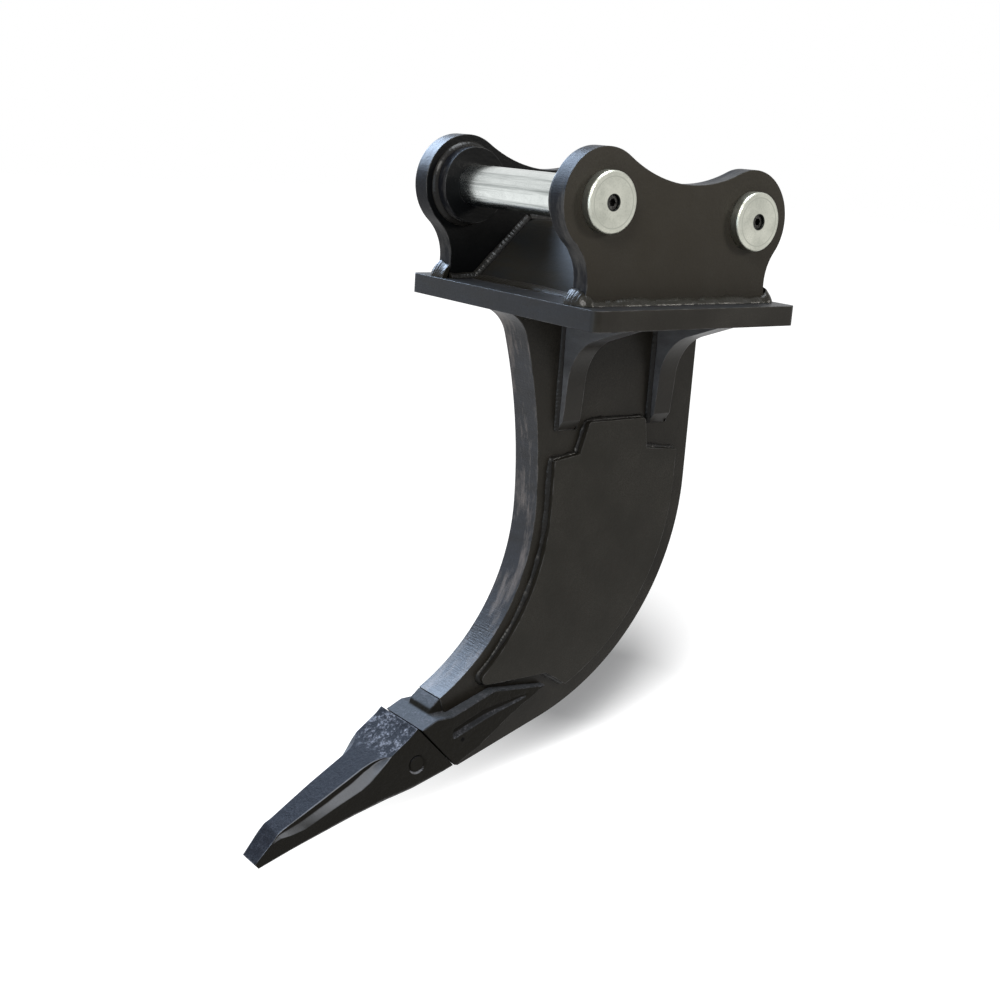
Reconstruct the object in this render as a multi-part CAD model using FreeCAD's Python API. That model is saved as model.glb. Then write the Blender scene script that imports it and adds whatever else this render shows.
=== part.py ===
# Ripper for an excavator: two pin ears on a base plate, a curved shank below it, and a pinned tooth point.
# Millimetres. X runs across the ears (+X is the left side), the tooth points to -Y, and Z is up.
# The origin is the centre of the front pin, where the machine's arm carries the ripper.
import FreeCAD, Part
import math
import os

# Pins and the holes that carry them
pin_diameter = 50.0
pin_spacing = 232.0
rear_pin_drop = 18.0
pin_clearance = 0.3
cap_diameter = 70.0
cap_thickness = 14.0
cap_chamfer = 2.0
bolt_diameter = 10.0
bolt_head_diameter = 16.0
bolt_head_height = 8.0
bolt_socket_across = 8.0
bolt_socket_depth = 5.0
bolt_length = 34.0
bolt_recess_depth = 10.5
bolt_recess_clearance = 0.5

# Ears and the round bosses inside them
arm_width = 200.0
boss_thickness = 20.0
boss_diameter = 92.0
ear_thickness = 24.0
lobe_radius = 60.0
saddle_radius = 188.0
waist_radius = 60.0
waist_height = 24.0
ear_weld_leg = 9.0

# Base plate
plate_drop = 116.0
plate_side_margin = 37.0
plate_thickness = 24.0
plate_front_reach = 33.0
plate_rear_reach = 57.5
plate_corner_radius = 10.0

# Bent brace between the ears
brace_thickness = 14.0
brace_foot_inset = 54.0
brace_run = 80.0
brace_height = 76.0
brace_bend_radius = 14.0
brace_weld_leg = 8.0

# Shank
shank_thickness = 45.0
shank_flare_inset = 4.0
shank_front_inset = 33.0
shank_rear_inset = 7.0
flare_radius = 46.0
flare_drop = 30.0
belly_lean = 33.0
belly_drop = 245.0
rear_straight = 225.0
rear_bend_reach = 220.0
rear_bend_drop = 303.0
tail_length = 133.0
nose_face_run = 33.0
nose_face_rise = 96.0

# Doubler plates on the sides of the shank
doubler_thickness = 10.0
doubler_front_margin = 17.0
doubler_rear_margin = 27.0
doubler_top_drop = 138.0
doubler_step_drop = 46.0
doubler_step_run = 12.0
doubler_toe_behind_nose = 44.0
doubler_heel_behind_nose = 93.0
doubler_tail_behind_bend = 33.5
doubler_foot_clearance = 7.0
doubler_toe_radius = 8.0
doubler_corner_radius = 5.0

# Gussets between the shank's sides and the base plate
gusset_thickness = 28.0
gusset_height = 148.0
gusset_foot_width = 11.0
gusset_neck_width = 15.0
gusset_neck_drop = 89.0
gusset_curve_radius = 66.0
gusset_curve_sweep = 70.0
gusset_top_reach = 122.0
gusset_lip = 4.0
gusset_foot_bevel = 14.0
gusset_front_place = 56.0
gusset_rear_inset = 81.5
gusset_to_doubler = 6.0

# Cast adapter on the end of the shank, with the nose that carries the point.
# Each pair is a place (Y, Z) in the side plane, measured from the blade's front corner.
adapter_half_width = 41.0
adapter_gap_top = (-36.0, -29.0)
adapter_gap_bottom = (17.0, -86.0)
adapter_strip_end = (-14.0, -19.0)
cheek_dip = (9.0, -19.0)
cheek_top_turn = (73.0, 2.0)
cheek_end = (159.0, -7.0)
cheek_low = (105.0, -35.0)
cheek_low_turn = (53.0, -69.0)
cheek_tail_proud = 2.0
hump_front = (-13.0, -11.0)
hump_wall_lean = 2.0
nose_angle = 24.3
nose_length = 96.0
nose_overlap = 14.0
nose_root_width = 52.0
nose_root_height = 46.0
nose_tip_width = 34.0
nose_tip_height = 20.0

# The long hollow in each cheek, from the tooth backwards: place, height and depth at three sections
scoop_places = ((11.0, -43.0), (57.0, -27.0), (127.0, -14.0))
scoop_heights = (16.0, 20.0, 8.0)
scoop_depths = (6.5, 6.0, 2.0)
scoop_floor_share = 0.4
scoop_overrun = 2.0

# Cast tooth point and its cross pin, again measured from the blade's front corner
point_gap = 2.5
patch_end = (-81.0, -54.0)
ridge_middle = (-153.0, -94.0)
bevel_start = (-217.0, -131.0)
tip_place = (-245.0, -164.0)
tip_edge_back = 6.0
tip_edge_drop = 7.0
underside_middle = (-143.0, -137.0)
underside_heel = (-56.0, -112.0)
taper_start = -89.0
tip_half_width = 15.0
socket_clearance = 0.5
socket_overrun = 60.0
tooth_pin_place = (-41.0, -71.0)
tooth_pin_diameter = 19.0
tooth_pin_clearance = 0.4
tooth_pin_set_back = 1.0
retainer_width = 5.0
retainer_outer = 27.0
retainer_clearance = 0.4
band_groove_width = 2.5
band_groove_depth = 1.5
band_width = 12.0

# The hollow on each side of the tooth's rib, from the patch to the tip: how far along, the rib's
# half width, the drop of the rib's wall, and the drop of the floor where it meets the tooth's side
hollow_places = (-79.0, -109.0, -153.0, -188.0, -221.0)
hollow_rib_halves = (41.5, 27.0, 20.0, 15.0, 11.0)
hollow_wall_drops = (0.5, 7.0, 9.0, 6.0, 0.5)
hollow_edge_drops = (1.5, 22.3, 20.5, 12.6, 3.7)

# Room that cutting shapes run past the surface they cut
overrun = 30.0

# Slack used when faces and edges are picked by their place
tiny = 0.01

half_gap = arm_width / 2
ear_inner = half_gap + boss_thickness
ear_outer = ear_inner + ear_thickness
front_pin = (0.0, 0.0)
rear_pin = (pin_spacing, -rear_pin_drop)
plate_top = -plate_drop
plate_bottom = plate_top - plate_thickness
plate_front = -plate_front_reach
plate_rear = pin_spacing + plate_rear_reach
plate_half = ear_outer + plate_side_margin
gusset_rear_place = plate_rear - gusset_rear_inset
shank_half = shank_thickness / 2
doubler_outer = shank_half + doubler_thickness


def vec(point, x=0.0):
    """A point of the side plane, given as (Y, Z), at the place x across the part."""
    return FreeCAD.Vector(x, point[0], point[1])


def towards(start, end, distance):
    """The point at a distance from start on the way to end."""
    span = math.dist(start, end)
    share = distance / span
    return (start[0] + (end[0] - start[0]) * share, start[1] + (end[1] - start[1]) * share)


def line(start, end):
    return Part.LineSegment(vec(start), vec(end)).toShape()


def arc_about(centre, start, end, turn):
    """An arc round centre from start to end; turn is 1 for anticlockwise seen from +X, else -1."""
    first = math.atan2(start[1] - centre[1], start[0] - centre[0])
    last = math.atan2(end[1] - centre[1], end[0] - centre[0])
    while (last - first) * turn < 0:
        last += turn * 2 * math.pi
    radius = math.dist(centre, start)
    middle = (first + last) / 2
    halfway = (centre[0] + radius * math.cos(middle), centre[1] + radius * math.sin(middle))
    return Part.Arc(vec(start), vec(halfway), vec(end)).toShape()


def arc_between(start, end, radius, side):
    """An arc of a radius from start to end that bulges to the left of its way for side 1, else right."""
    span = math.dist(start, end)
    rise = radius - math.sqrt(radius ** 2 - (span / 2) ** 2)
    along = ((end[0] - start[0]) / span, (end[1] - start[1]) / span)
    middle = ((start[0] + end[0]) / 2, (start[1] + end[1]) / 2)
    halfway = (middle[0] - along[1] * rise * side, middle[1] + along[0] * rise * side)
    return Part.Arc(vec(start), vec(halfway), vec(end)).toShape()


def polygon(points):
    return [line(points[i], points[(i + 1) % len(points)]) for i in range(len(points))]


def slab(edges, x_low, x_high):
    """A flat plate with an outline in the side plane, between two places across the part."""
    face = Part.Face(Part.Wire(Part.__sortEdges__(edges)))
    face.translate(FreeCAD.Vector(x_low, 0, 0))
    return face.extrude(FreeCAD.Vector(x_high - x_low, 0, 0))


def rod(diameter, x_low, x_high, place):
    base = vec(place, x_low)
    return Part.makeCylinder(diameter / 2, x_high - x_low, base, FreeCAD.Vector(1, 0, 0))


def mirrored(shape):
    return shape.mirror(FreeCAD.Vector(0, 0, 0), FreeCAD.Vector(1, 0, 0))


def group(shapes):
    return Part.makeCompound(shapes)


def tangent_centre(lobe, radius, height, side):
    """The centre of an arc that touches a lobe from outside, at a height and on one side of it."""
    drop = lobe[1] - height
    reach = math.sqrt((lobe_radius + radius) ** 2 - drop ** 2)
    return (lobe[0] + side * reach, height)


def ear_outline():
    """Two pin lobes joined by a saddle above and by hollow waists down to the base plate."""
    waist_z = plate_top + waist_height
    front = tangent_centre(front_pin, waist_radius, waist_z, -1)
    rear = tangent_centre(rear_pin, waist_radius, waist_z, 1)
    foot = math.sqrt(waist_radius ** 2 - waist_height ** 2)
    front_foot = (front[0] + foot, plate_top)
    rear_foot = (rear[0] - foot, plate_top)
    span = math.dist(front_pin, rear_pin)
    lift = math.sqrt((lobe_radius + saddle_radius) ** 2 - (span / 2) ** 2)
    tilt = math.atan2(rear_pin[1], rear_pin[0])
    saddle = (
        span / 2 * math.cos(tilt) - lift * math.sin(tilt),
        span / 2 * math.sin(tilt) + lift * math.cos(tilt),
    )
    front_low = towards(front_pin, front, lobe_radius)
    front_high = towards(front_pin, saddle, lobe_radius)
    rear_high = towards(rear_pin, saddle, lobe_radius)
    rear_low = towards(rear_pin, rear, lobe_radius)
    return [
        arc_about(front, front_foot, front_low, 1),
        arc_about(front_pin, front_low, front_high, -1),
        arc_about(saddle, front_high, rear_high, 1),
        arc_about(rear_pin, rear_high, rear_low, -1),
        arc_about(rear, rear_low, rear_foot, 1),
        line(rear_foot, front_foot),
    ], front_foot[0], rear_foot[0]


def ear_left():
    """A thick plate that stands on the base plate and carries one end of both pins."""
    outline, _, _ = ear_outline()
    ear = slab(outline, ear_inner, ear_outer)
    for place in (front_pin, rear_pin):
        ear = ear.cut(rod(pin_diameter + 2 * pin_clearance, ear_inner, ear_outer, place))
    return ear


def boss_left(place):
    """A turned ring welded inside the ear round a pin; the machine's arm runs against its face."""
    ring = rod(boss_diameter, half_gap, ear_inner, place)
    return ring.cut(rod(pin_diameter + 2 * pin_clearance, half_gap, ear_inner, place))


def pin_shaft(place):
    """A plated steel pin from one ear's outer face to the other, drilled for a bolt at each end."""
    shaft = rod(pin_diameter, -ear_outer, ear_outer, place)
    depth = bolt_length - (cap_thickness - bolt_recess_depth)
    for x_low in (-ear_outer, ear_outer - depth):
        shaft = shaft.cut(rod(bolt_diameter, x_low, x_low + depth, place))
    return shaft


def pin_cap_left(place):
    """The thick disc bolted on a pin's end, which keeps the pin in the ears."""
    face = ear_outer + cap_thickness
    cap = rod(cap_diameter, ear_outer, face, place)
    rim = [e for e in cap.Edges if abs(e.BoundBox.XMin - face) < tiny and e.BoundBox.XLength < tiny]
    cap = cap.makeChamfer(cap_chamfer, rim)
    recess = bolt_head_diameter + 2 * bolt_recess_clearance
    cap = cap.cut(rod(bolt_diameter, ear_outer, face, place))
    return cap.cut(rod(recess, face - bolt_recess_depth, face, place))


def cap_bolt_left(place):
    """A socket head bolt sunk in the cap, its thread shown as a plain shank."""
    seat = ear_outer + cap_thickness - bolt_recess_depth
    bolt = rod(bolt_diameter, seat - bolt_length, seat, place)
    bolt = bolt.fuse(rod(bolt_head_diameter, seat, seat + bolt_head_height, place))
    corners = []
    for i in range(7):
        angle = math.radians(60 * i)
        reach = bolt_socket_across / math.sqrt(3)
        corner = (place[0] + reach * math.cos(angle), place[1] + reach * math.sin(angle))
        corners.append(vec(corner, seat + bolt_head_height - bolt_socket_depth))
    socket = Part.Face(Part.makePolygon(corners)).extrude(FreeCAD.Vector(bolt_socket_depth, 0, 0))
    return bolt.cut(socket)


def base_plate():
    """A thick flat plate with rounded corners."""
    length = plate_rear - plate_front
    corner = FreeCAD.Vector(-plate_half, plate_front, plate_bottom)
    plate = Part.makeBox(2 * plate_half, length, plate_thickness, corner)
    upright = [e for e in plate.Edges if e.BoundBox.ZLength > plate_thickness - tiny]
    return plate.makeFillet(plate_corner_radius, upright)


def brace():
    """A plate bent to an arch between the ears, standing on the base plate under the pins."""
    front = plate_front + brace_foot_inset
    rear = plate_rear - brace_foot_inset
    ridge = plate_top + brace_height
    knee_front = (front + brace_run, ridge)
    knee_rear = (rear - brace_run, ridge)
    slope = math.atan2(brace_height, brace_run)
    foot_run = brace_thickness / math.sin(slope)
    knee_shift = brace_thickness * math.tan(slope / 2)
    inner_ridge = ridge - brace_thickness
    outline = polygon([
        (front, plate_top),
        knee_front,
        knee_rear,
        (rear, plate_top),
        (rear - foot_run, plate_top),
        (knee_rear[0] - knee_shift, inner_ridge),
        (knee_front[0] + knee_shift, inner_ridge),
        (front + foot_run, plate_top),
    ])
    half = ear_inner
    body = slab(outline, -half, half)
    bend = [e for e in body.Edges if e.BoundBox.XLength > half and abs(e.BoundBox.ZMax - ridge) < tiny]
    body = body.makeFillet(brace_bend_radius + brace_thickness, bend)
    inner = [e for e in body.Edges if e.BoundBox.XLength > half and abs(e.BoundBox.ZMax - inner_ridge) < tiny]
    return body.makeFillet(brace_bend_radius, inner)


def round_from_upright(start, end):
    """The centre and radius of an arc that leaves start straight down and ends at a second point."""
    reach = end[0] - start[0]
    radius = math.dist(start, end) ** 2 / (2 * reach)
    return (start[0] + radius, start[1])


def shank_points():
    """The named corners of the blade in the side plane."""
    tail_turn = 2 * math.atan(rear_bend_reach / rear_bend_drop)
    places = {}
    places["flare"] = (plate_front + shank_flare_inset, plate_bottom)
    places["front_top"] = (plate_front + shank_front_inset, plate_bottom - flare_drop)
    places["belly"] = (places["front_top"][0] + belly_lean, plate_bottom - belly_drop)
    places["rear_top"] = (plate_rear - shank_rear_inset, plate_bottom)
    places["rear_bend"] = (places["rear_top"][0], plate_bottom - rear_straight)
    places["bend_end"] = (places["rear_bend"][0] - rear_bend_reach, places["rear_bend"][1] - rear_bend_drop)
    places["nose_rear"] = (
        places["bend_end"][0] - tail_length * math.sin(tail_turn),
        places["bend_end"][1] - tail_length * math.cos(tail_turn),
    )
    places["nose_front"] = (places["nose_rear"][0] - nose_face_run, places["nose_rear"][1] + nose_face_rise)
    return places


def from_nose(offset):
    """A place in the side plane, given by its offset from the blade's front corner."""
    corner = shank_points()["nose_front"]
    return (corner[0] + offset[0], corner[1] + offset[1])


def shank():
    """The curved blade, flame cut from thick plate, flared forward where it meets the base plate."""
    at = shank_points()
    upper = round_from_upright(at["belly"], at["front_top"])
    lower = round_from_upright(at["belly"], at["nose_front"])
    behind = round_from_upright(at["rear_bend"], at["bend_end"])
    outline = [
        arc_between(at["flare"], at["front_top"], flare_radius, 1),
        arc_about(upper, at["front_top"], at["belly"], -1),
        arc_about(lower, at["belly"], at["nose_front"], -1),
        line(at["nose_front"], at["nose_rear"]),
        line(at["nose_rear"], at["bend_end"]),
        arc_about(behind, at["bend_end"], at["rear_bend"], 1),
        line(at["rear_bend"], at["rear_top"]),
        line(at["rear_top"], at["flare"]),
    ]
    return slab(outline, -shank_half, shank_half)


def on_circle(centre, radius, y):
    """The lower point of a circle at a place along the part."""
    return (y, centre[1] - math.sqrt(radius ** 2 - (y - centre[0]) ** 2))


def doubler_outline():
    """Inside the blade's outline by a margin, stepped at the top to clear both gussets."""
    at = shank_points()
    high = plate_bottom - doubler_top_drop
    low = high - doubler_step_drop
    ahead = round_from_upright(at["belly"], at["nose_front"])
    behind = round_from_upright(at["rear_bend"], at["bend_end"])
    front_y = at["belly"][0] + doubler_front_margin
    rear_y = at["rear_bend"][0] - doubler_rear_margin
    toe = on_circle(ahead, front_y - ahead[0], at["nose_front"][0] + doubler_toe_behind_nose)
    tail = on_circle(behind, rear_y - behind[0], at["bend_end"][0] + doubler_tail_behind_bend)
    foot = from_nose(cheek_top_turn)[1] + doubler_foot_clearance
    heel = (at["nose_front"][0] + doubler_heel_behind_nose, foot)
    turn = (from_nose(cheek_end)[0], foot)
    step_front = gusset_front_place + gusset_thickness + gusset_to_doubler
    step_rear = gusset_rear_place - gusset_to_doubler
    return [
        line((front_y, low), (front_y, at["belly"][1])),
        arc_about(ahead, (front_y, at["belly"][1]), toe, -1),
        line(toe, heel),
        line(heel, turn),
        line(turn, tail),
        arc_about(behind, tail, (rear_y, at["rear_bend"][1]), 1),
        line((rear_y, at["rear_bend"][1]), (rear_y, low)),
        line((rear_y, low), (step_rear, low + doubler_step_run / 2)),
        line((step_rear, low + doubler_step_run / 2), (step_rear - doubler_step_run / 2, high)),
        line((step_rear - doubler_step_run / 2, high), (step_front + doubler_step_run, high)),
        line((step_front + doubler_step_run, high), (step_front, low + doubler_step_run / 2)),
        line((step_front, low + doubler_step_run / 2), (front_y, low)),
    ], toe


def doubler_left():
    """A plate welded flat on the blade's side, with its toe and top corners rounded."""
    outline, toe = doubler_outline()
    plate = slab(outline, shank_half, doubler_outer)
    at_toe = [e for e in crossing_edges(plate) if abs(e.BoundBox.YMin - toe[0]) < tiny]
    plate = plate.makeFillet(doubler_toe_radius, at_toe)
    high = plate_bottom - doubler_top_drop - tiny
    at_top = [e for e in crossing_edges(plate) if e.BoundBox.ZMin > high]
    return plate.makeFillet(doubler_corner_radius, at_top)


def crossing_edges(plate):
    """The corner edges that run straight through a plate lying on the blade's side."""
    return [e for e in plate.Edges if e.BoundBox.XLength > doubler_thickness - tiny]


def gusset_left(place):
    """A thick plate across the shank with a hollow outer edge that spreads out under the base plate."""
    neck = (shank_half + gusset_neck_width, plate_bottom - gusset_neck_drop)
    sweep = math.radians(gusset_curve_sweep)
    centre = (neck[0] + gusset_curve_radius, neck[1])
    half, end = [
        (centre[0] - gusset_curve_radius * math.cos(turn), neck[1] + gusset_curve_radius * math.sin(turn))
        for turn in (sweep / 2, sweep)
    ]
    tip = (shank_half + gusset_top_reach, plate_bottom - gusset_lip)
    foot = plate_bottom - gusset_height
    run = [
        (shank_half, plate_bottom),
        (tip[0], plate_bottom),
        tip,
        end,
        neck,
        (shank_half + gusset_foot_width, foot + gusset_foot_bevel),
        (shank_half, foot),
    ]
    corner = [FreeCAD.Vector(x, place, z) for x, z in run]
    edges = [Part.LineSegment(corner[i], corner[(i + 1) % 7]).toShape() for i in range(7) if i != 3]
    edges.append(Part.Arc(corner[3], FreeCAD.Vector(half[0], place, half[1]), corner[4]).toShape())
    face = Part.Face(Part.Wire(Part.__sortEdges__(edges)))
    return face.extrude(FreeCAD.Vector(0, gusset_thickness, 0))


def flat_sided(rings):
    """A closed solid through rings of as many corners each, every side split into flat triangles."""
    faces = []
    for first, second in zip(rings, rings[1:]):
        for i in range(len(first)):
            j = (i + 1) % len(first)
            faces.append((first[i], first[j], second[i]))
            faces.append((first[j], second[j], second[i]))
    for ring in (rings[0], rings[-1]):
        faces.extend([(ring[0], ring[i], ring[i + 1]) for i in range(1, len(ring) - 1)])
    shell = Part.Shell([Part.Face(Part.makePolygon([a, b, c, a])) for a, b, c in faces])
    solid = Part.Solid(shell)
    return solid if solid.Volume > 0 else solid.reversed()


def nose_section(along, width, height):
    """A rectangle across the nose's axis at a distance from the middle of the gap."""
    top = from_nose(adapter_gap_top)
    bottom = from_nose(adapter_gap_bottom)
    angle = math.radians(nose_angle)
    forward = (-math.cos(angle), -math.sin(angle))
    up = (forward[1], -forward[0])
    middle = ((top[0] + bottom[0]) / 2, (top[1] + bottom[1]) / 2)
    centre = (middle[0] + forward[0] * along, middle[1] + forward[1] * along)
    corners = []
    for side, lift in ((1, 1), (-1, 1), (-1, -1), (1, -1)):
        place = (centre[0] + up[0] * lift * height / 2, centre[1] + up[1] * lift * height / 2)
        corners.append(vec(place, side * width / 2))
    return corners


def nose_solid(grow, start):
    """The tapered nose, grown all round by a clearance and begun at a distance from the gap."""
    slope_w = (nose_tip_width - nose_root_width) / nose_length
    slope_h = (nose_tip_height - nose_root_height) / nose_length
    root_w = nose_root_width + slope_w * start + 2 * grow
    root_h = nose_root_height + slope_h * start + 2 * grow
    tip_w = nose_tip_width + 2 * grow
    tip_h = nose_tip_height + 2 * grow
    first = nose_section(start, root_w, root_h)
    last = nose_section(nose_length + grow, tip_w, tip_h)
    return flat_sided([first, last]).removeSplitter()


def adapter_casting():
    """The body that straddles the blade: solid ahead of it, and a cheek down each side."""
    corners = (
        adapter_gap_top,
        adapter_strip_end,
        cheek_dip,
        cheek_top_turn,
        cheek_end,
        cheek_low,
        cheek_low_turn,
        adapter_gap_bottom,
    )
    body = slab(polygon([from_nose(corner) for corner in corners]), -adapter_half_width, adapter_half_width)
    return body.cut(shank())


def cheek_taper_left():
    """The wedge of metal that is missing outside a cheek, which thins towards its tail."""
    start = from_nose(cheek_dip)[0]
    end = from_nose(cheek_end)[0] + overrun
    run = from_nose(cheek_end)[0] - start
    lean = (adapter_half_width - doubler_outer - cheek_tail_proud) / run
    low = from_nose(adapter_gap_bottom)[1] - overrun
    plan = [
        FreeCAD.Vector(adapter_half_width, start, low),
        FreeCAD.Vector(adapter_half_width, end, low),
        FreeCAD.Vector(adapter_half_width - lean * (end - start), end, low),
        FreeCAD.Vector(adapter_half_width, start, low),
    ]
    height = from_nose(cheek_top_turn)[1] + overrun - low
    return Part.Face(Part.makePolygon(plan)).extrude(FreeCAD.Vector(0, 0, height))


def adapter_scoop_left():
    """The long hollow cast in a cheek, deepest towards the tooth."""
    rings = []
    run = cheek_end[0] - cheek_dip[0]
    lean = (adapter_half_width - doubler_outer - cheek_tail_proud) / run
    out = adapter_half_width + scoop_overrun
    for offset, height, depth in zip(scoop_places, scoop_heights, scoop_depths):
        y, z = from_nose(offset)
        floor = adapter_half_width - depth - (offset[0] - cheek_dip[0]) * lean
        half = height * scoop_floor_share / 2
        rings.append([
            FreeCAD.Vector(floor, y, z + half),
            FreeCAD.Vector(out, y, z + height / 2),
            FreeCAD.Vector(out, y, z - height / 2),
            FreeCAD.Vector(floor, y, z - half),
        ])
    return flat_sided(rings)


def adapter_hump():
    """The strap end on top, as wide as the blade: it carries the blade's front line past its corner."""
    slope = (adapter_strip_end[1] - adapter_gap_top[1]) / (adapter_strip_end[0] - adapter_gap_top[0])
    foot_y = hump_front[0] - hump_wall_lean
    foot = (foot_y, adapter_gap_top[1] + (foot_y - adapter_gap_top[0]) * slope)
    corners = ((0, 0), hump_front, foot, adapter_strip_end, cheek_dip)
    outline = polygon([from_nose(corner) for corner in corners])
    return slab(outline, -shank_half, shank_half).cut(shank())


def adapter_lip():
    """The wedge that fills the corner between the casting's mouth and the blade's lower corner."""
    at = shank_points()
    outline = polygon([from_nose(adapter_gap_bottom), at["nose_rear"], from_nose(cheek_low_turn)])
    return slab(outline, -shank_half, shank_half).cut(shank())


def adapter():
    """A casting welded on the blade's end: a straddling body, a top hump, a lower lip and the nose."""
    body = adapter_casting()
    body = body.fuse([adapter_hump(), adapter_lip(), nose_solid(0.0, -nose_overlap)])
    taper = cheek_taper_left()
    scoop = adapter_scoop_left()
    body = body.cut([taper, mirrored(taper), scoop, mirrored(scoop)])
    hole_diameter = tooth_pin_diameter + 2 * tooth_pin_clearance
    hole = rod(hole_diameter, -adapter_half_width, adapter_half_width, from_nose(tooth_pin_place))
    return body.cut(hole).removeSplitter()


def mouth_place(corner):
    """A corner of the tooth's mouth, set off from the adapter's by the gap between them."""
    place = from_nose(corner)
    along = (adapter_gap_bottom[0] - adapter_gap_top[0], adapter_gap_bottom[1] - adapter_gap_top[1])
    span = math.hypot(along[0], along[1])
    return (place[0] + along[1] / span * point_gap, place[1] - along[0] / span * point_gap)


def tooth_body():
    """The side view of the point, cut to its plan taper."""
    tip = from_nose(tip_place)
    outline = polygon([
        mouth_place(adapter_gap_top),
        from_nose(patch_end),
        from_nose(ridge_middle),
        from_nose(bevel_start),
        tip,
        (tip[0] + tip_edge_back, tip[1] - tip_edge_drop),
        from_nose(underside_middle),
        from_nose(underside_heel),
        mouth_place(adapter_gap_bottom),
    ])
    blank = slab(outline, -adapter_half_width, adapter_half_width)
    begin = from_nose((taper_start, 0))[0]
    back = blank.BoundBox.YMax + overrun
    low = blank.BoundBox.ZMin - overrun
    plan = [
        FreeCAD.Vector(-adapter_half_width, back, low),
        FreeCAD.Vector(adapter_half_width, back, low),
        FreeCAD.Vector(adapter_half_width, begin, low),
        FreeCAD.Vector(tip_half_width, tip[0], low),
        FreeCAD.Vector(-tip_half_width, tip[0], low),
        FreeCAD.Vector(-adapter_half_width, begin, low),
        FreeCAD.Vector(-adapter_half_width, back, low),
    ]
    height = blank.BoundBox.ZLength + 2 * overrun
    return blank.common(Part.Face(Part.makePolygon(plan)).extrude(FreeCAD.Vector(0, 0, height)))


def ridge_height(along):
    """The height of the tooth's top line at a place given from the blade's front corner."""
    for first, second in ((patch_end, ridge_middle), (ridge_middle, bevel_start)):
        if along > second[0] or second is bevel_start:
            share = (along - first[0]) / (second[0] - first[0])
            return first[1] + share * (second[1] - first[1])


def tooth_hollow_left():
    """The hollow beside the middle rib: a wall down from the rib, and a floor sloping to the side."""
    out = adapter_half_width + scoop_overrun
    rings = []
    for along, rib, wall, edge in zip(hollow_places, hollow_rib_halves, hollow_wall_drops, hollow_edge_drops):
        y, z = from_nose((along, ridge_height(along)))
        rings.append([
            FreeCAD.Vector(rib, y, z + overrun),
            FreeCAD.Vector(rib, y, z - wall),
            FreeCAD.Vector(out, y, z - edge),
            FreeCAD.Vector(out, y, z + overrun),
        ])
    return flat_sided(rings)


def tooth_point():
    """The replaceable cast point: socket behind, ribbed top with a hollow each side, chisel tip."""
    hollow = tooth_hollow_left()
    body = tooth_body().cut([hollow, mirrored(hollow)])
    body = body.cut(nose_solid(socket_clearance, -socket_overrun))
    side = adapter_half_width + overrun
    place = from_nose(tooth_pin_place)
    body = body.cut(rod(tooth_pin_diameter + 2 * tooth_pin_clearance, -side, side, place))
    pocket_end = retainer_place() + retainer_width + retainer_clearance
    pocket = rod(retainer_outer + 2 * retainer_clearance, 0, pocket_end, place)
    return body.cut([pocket, band_groove()])


def band_groove():
    """The groove across the top that sets off the band round the socket's mouth."""
    start = mouth_place(adapter_gap_top)
    end = from_nose(patch_end)
    first = towards(start, end, band_width)
    last = towards(start, end, band_width + band_groove_width)
    deep = towards(first, last, band_groove_width / 2)
    span = math.dist(start, end)
    inward = ((start[1] - end[1]) / span, (end[0] - start[0]) / span)
    bottom = (deep[0] + inward[0] * band_groove_depth, deep[1] + inward[1] * band_groove_depth)
    return slab(polygon([first, last, bottom]), -adapter_half_width, adapter_half_width)


def tooth_pin():
    """The cross pin that holds the point on the nose."""
    half = adapter_half_width - tooth_pin_set_back
    return rod(tooth_pin_diameter, -half, half, from_nose(tooth_pin_place))


def tooth_pin_retainer():
    """The spring ring round the cross pin, in a pocket inside the point's left wall."""
    inner = retainer_place()
    outer = inner + retainer_width
    ring = rod(retainer_outer, inner, outer, from_nose(tooth_pin_place))
    return ring.cut(rod(tooth_pin_diameter, inner, outer, from_nose(tooth_pin_place)))


def retainer_place():
    """The inner face of the spring ring, just clear of the nose."""
    return nose_root_width / 2 + retainer_clearance


def brace_welds():
    """The fillets of weld along the brace's two feet."""
    front = plate_front + brace_foot_inset
    rear = plate_rear - brace_foot_inset
    slope = math.atan2(brace_height, brace_run)
    up_y = brace_weld_leg * math.cos(slope)
    up_z = brace_weld_leg * math.sin(slope)
    beads = []
    for foot, way in ((front, 1), (rear, -1)):
        outline = polygon([
            (foot, plate_top),
            (foot + way * up_y, plate_top + up_z),
            (foot - way * brace_weld_leg, plate_top),
        ])
        beads.append(slab(outline, -ear_inner, ear_inner))
    return group(beads)


def ear_weld_left():
    """The fillet of weld along the outside of an ear's foot."""
    _, front, rear = ear_outline()
    corners = [
        FreeCAD.Vector(ear_outer, front, plate_top),
        FreeCAD.Vector(ear_outer + ear_weld_leg, front, plate_top),
        FreeCAD.Vector(ear_outer, front, plate_top + ear_weld_leg),
        FreeCAD.Vector(ear_outer, front, plate_top),
    ]
    return Part.Face(Part.makePolygon(corners)).extrude(FreeCAD.Vector(0, rear - front, 0))


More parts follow.
